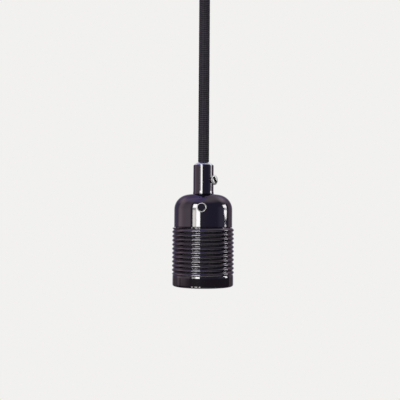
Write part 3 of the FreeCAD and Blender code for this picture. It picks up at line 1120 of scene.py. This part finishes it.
# Sunlit sills under the key window, which sparkle along the barrel's lower edge
sill_white = (10.0, 10.2, 9.0)
panel("sunlit_sill_outer", (-44, -39), (-30, -18), sill_white, sill_distance)
panel("sunlit_sill_middle", (-31, -21), (-30, -18), sill_white, sill_distance)
panel("sunlit_sill_inner", (-15, -10), (-32, -18), sill_white, sill_distance)


# World: a pale backdrop behind, a dim room with a warm wall on the left, and an even fill
backdrop = (0.885, 0.878, 0.864)
even_fill = (0.42, 0.42, 0.43)
dim_room = (0.11, 0.095, 0.185)


def background(tree, colour):
    node = tree.nodes.new("ShaderNodeBackground")
    if isinstance(colour, tuple):
        node.inputs["Color"].default_value = (*colour, 1)
    else:
        tree.links.new(colour, node.inputs["Color"])
    return node.outputs["Background"]


def either(tree, factor, first, second):
    node = tree.nodes.new("ShaderNodeMixShader")
    tree.links.new(factor, node.inputs["Fac"])
    tree.links.new(first, node.inputs[1])
    tree.links.new(second, node.inputs[2])
    return node.outputs["Shader"]


# The room that metal mirrors, as glows laid over each other by direction
class Room:
    def __init__(self, tree):
        self.tree = tree
        place = tree.nodes.new("ShaderNodeTexCoord")
        split = tree.nodes.new("ShaderNodeSeparateXYZ")
        tree.links.new(place.outputs["Generated"], split.inputs["Vector"])
        self.x, self.y, self.z = split.outputs["X"], split.outputs["Y"], split.outputs["Z"]
        self.azimuth = maths(tree, "ARCTAN2", self.x, maths(tree, "MULTIPLY", self.y, -1.0))
        dim = tree.nodes.new("ShaderNodeRGB")
        dim.outputs["Color"].default_value = (*dim_room, 1)
        self.colour = dim.outputs["Color"]

    def ramp(self, value, start, end, before, after):
        node = self.tree.nodes.new("ShaderNodeMapRange")
        node.interpolation_type = "SMOOTHSTEP"
        node.inputs["From Min"].default_value = start
        node.inputs["From Max"].default_value = end
        node.inputs["To Min"].default_value = before
        node.inputs["To Max"].default_value = after
        self.tree.links.new(value, node.inputs["Value"])
        return node.outputs["Result"]

    def rise(self, value, start, end, high=1.0):
        return self.ramp(value, start, end, before=0.0, after=high)

    def fall(self, value, start, end, high=1.0, low=0.0):
        return self.ramp(value, start, end, before=high, after=low)

    # The same by azimuth from the front, in degrees
    def turn_rise(self, start, end, high=1.0):
        return self.rise(self.azimuth, math.radians(start), math.radians(end), high)

    def turn_fall(self, start, end, low=0.0):
        return self.fall(self.azimuth, math.radians(start), math.radians(end), low=low)

    def both(self, first, second):
        return maths(self.tree, "MULTIPLY", first, second)

    def glow(self, factor, colour):
        node = self.tree.nodes.new("ShaderNodeMix")
        node.data_type = "RGBA"
        node.inputs["B"].default_value = (*colour, 1)
        self.tree.links.new(factor, node.inputs["Factor"])
        self.tree.links.new(self.colour, node.inputs["A"])
        self.colour = node.outputs["Result"]


def glow_behind(room):
    room.glow(room.fall(room.z, start=-0.08, end=-0.03), colour=(0.075, 0.058, 0.085))
    behind = room.rise(room.y, start=0.4, end=0.6)
    room.glow(behind, colour=(0.48, 0.44, 0.6))
    right = room.rise(room.x, start=0.2, end=0.5)
    room.glow(room.both(behind, right), colour=(0.66, 0.55, 0.53))
    low = room.fall(room.z, start=-0.06, end=0.02)
    room.glow(room.both(behind, low), colour=(0.48, 0.4, 0.34))


overhead_up = 0.97
overhead_left = 0.22


def glow_above(room):
    upper_back = room.both(room.rise(room.y, start=-0.1, end=0.5), room.rise(room.z, start=0.3, end=0.7))
    left = room.fall(room.x, start=-0.12, end=0.12)
    far_left = room.fall(room.x, start=-0.6, end=-0.3)
    far_right = room.both(room.rise(room.x, start=0.2, end=0.5), room.rise(room.z, start=0.5, end=0.8))
    room.glow(upper_back, colour=(1.2, 1.05, 1.15))
    room.glow(room.both(upper_back, left), colour=(0.72, 0.5, 0.78))
    room.glow(room.both(upper_back, far_left), colour=(1.4, 1.15, 1.2))
    room.glow(room.both(upper_back, far_right), colour=(1.9, 1.7, 1.75))
    room.glow(room.rise(room.z, start=0.6, end=0.95), colour=(0.62, 0.54, 0.58))
    upright = room.both(room.z, overhead_up)
    to_right = room.both(room.x, overhead_left)
    overhead = room.rise(maths(room.tree, "SUBTRACT", upright, to_right), start=0.75, end=0.98)
    room.glow(room.both(overhead, room.fall(room.x, start=0.0, end=0.25)), colour=(0.42, 0.34, 0.9))


def glow_left_wall(room):
    sides = room.both(room.turn_rise(start=-124, end=-106), room.turn_fall(start=-54, end=-47))
    top = room.both(room.fall(room.z, start=0.25, end=0.75, low=0.6),
                    room.fall(room.z, start=0.02, end=0.12, low=0.85))
    low = room.fall(room.z, start=-0.08, end=-0.05)
    low_fade = room.both(low, room.turn_rise(start=-76, end=-54, high=0.75))
    foot = room.both(room.rise(room.z, start=-0.2, end=0.0), maths(room.tree, "SUBTRACT", 1.0, low_fade))
    light = room.turn_fall(start=-108, end=-78, low=0.5)
    share = room.both(sides, room.both(top, foot))
    room.glow(room.both(share, light), colour=(1.1, 0.9, 0.95))


def glow_right(room):
    sides = room.both(room.turn_rise(start=52, end=74), room.turn_fall(start=88, end=104))
    level = room.both(room.rise(room.z, start=-0.07, end=-0.03), room.fall(room.z, start=0.1, end=0.4))
    room.glow(room.both(sides, level), colour=(0.21, 0.2, 0.32))


def shade_post(room):
    sides = room.both(room.turn_rise(start=-99, end=-97), room.turn_fall(start=-93, end=-91))
    low = room.fall(room.z, start=-0.082, end=-0.072, high=0.8)
    room.glow(room.both(sides, low), colour=(0.08, 0.07, 0.1))


def build_world():
    world = bpy.data.worlds.new("studio")
    world.use_nodes = True
    bpy.context.scene.world = world
    tree = world.node_tree
    tree.nodes.clear()
    room = Room(tree)
    glow_behind(room)
    glow_above(room)
    glow_left_wall(room)
    glow_right(room)
    shade_post(room)
    room.glow(room.rise(room.y, start=0.72, end=0.93), backdrop)
    path = tree.nodes.new("ShaderNodeLightPath")
    direct = maths(tree, "MAXIMUM", path.outputs["Is Camera Ray"], path.outputs["Is Transmission Ray"])
    fill = background(tree, even_fill)
    mirrored = either(tree, path.outputs["Is Glossy Ray"], fill, background(tree, room.colour))
    last = either(tree, direct, mirrored, background(tree, backdrop))
    out = tree.nodes.new("ShaderNodeOutputWorld")
    tree.links.new(last, out.inputs["Surface"])


build_world()

# Camera: level with the sleeve's top, tilted up a little and rolled by half of the barrel's lean
camera_place = (-0.00205, -0.370, eye_level)
camera_pitch = math.radians(93.07)
camera_roll = math.radians(-0.4)
camera = bpy.data.cameras.new("camera")
camera.lens = 50.6
camera.sensor_width = 36.0
camera_holder = bpy.data.objects.new("camera", camera)
camera_holder.location = camera_place
camera_holder.rotation_euler = (camera_pitch, camera_roll, 0)
bpy.context.scene.collection.objects.link(camera_holder)
bpy.context.scene.camera = camera_holder
bpy.context.scene.view_settings.view_transform = "Standard"

bpy.context.view_layer.update()
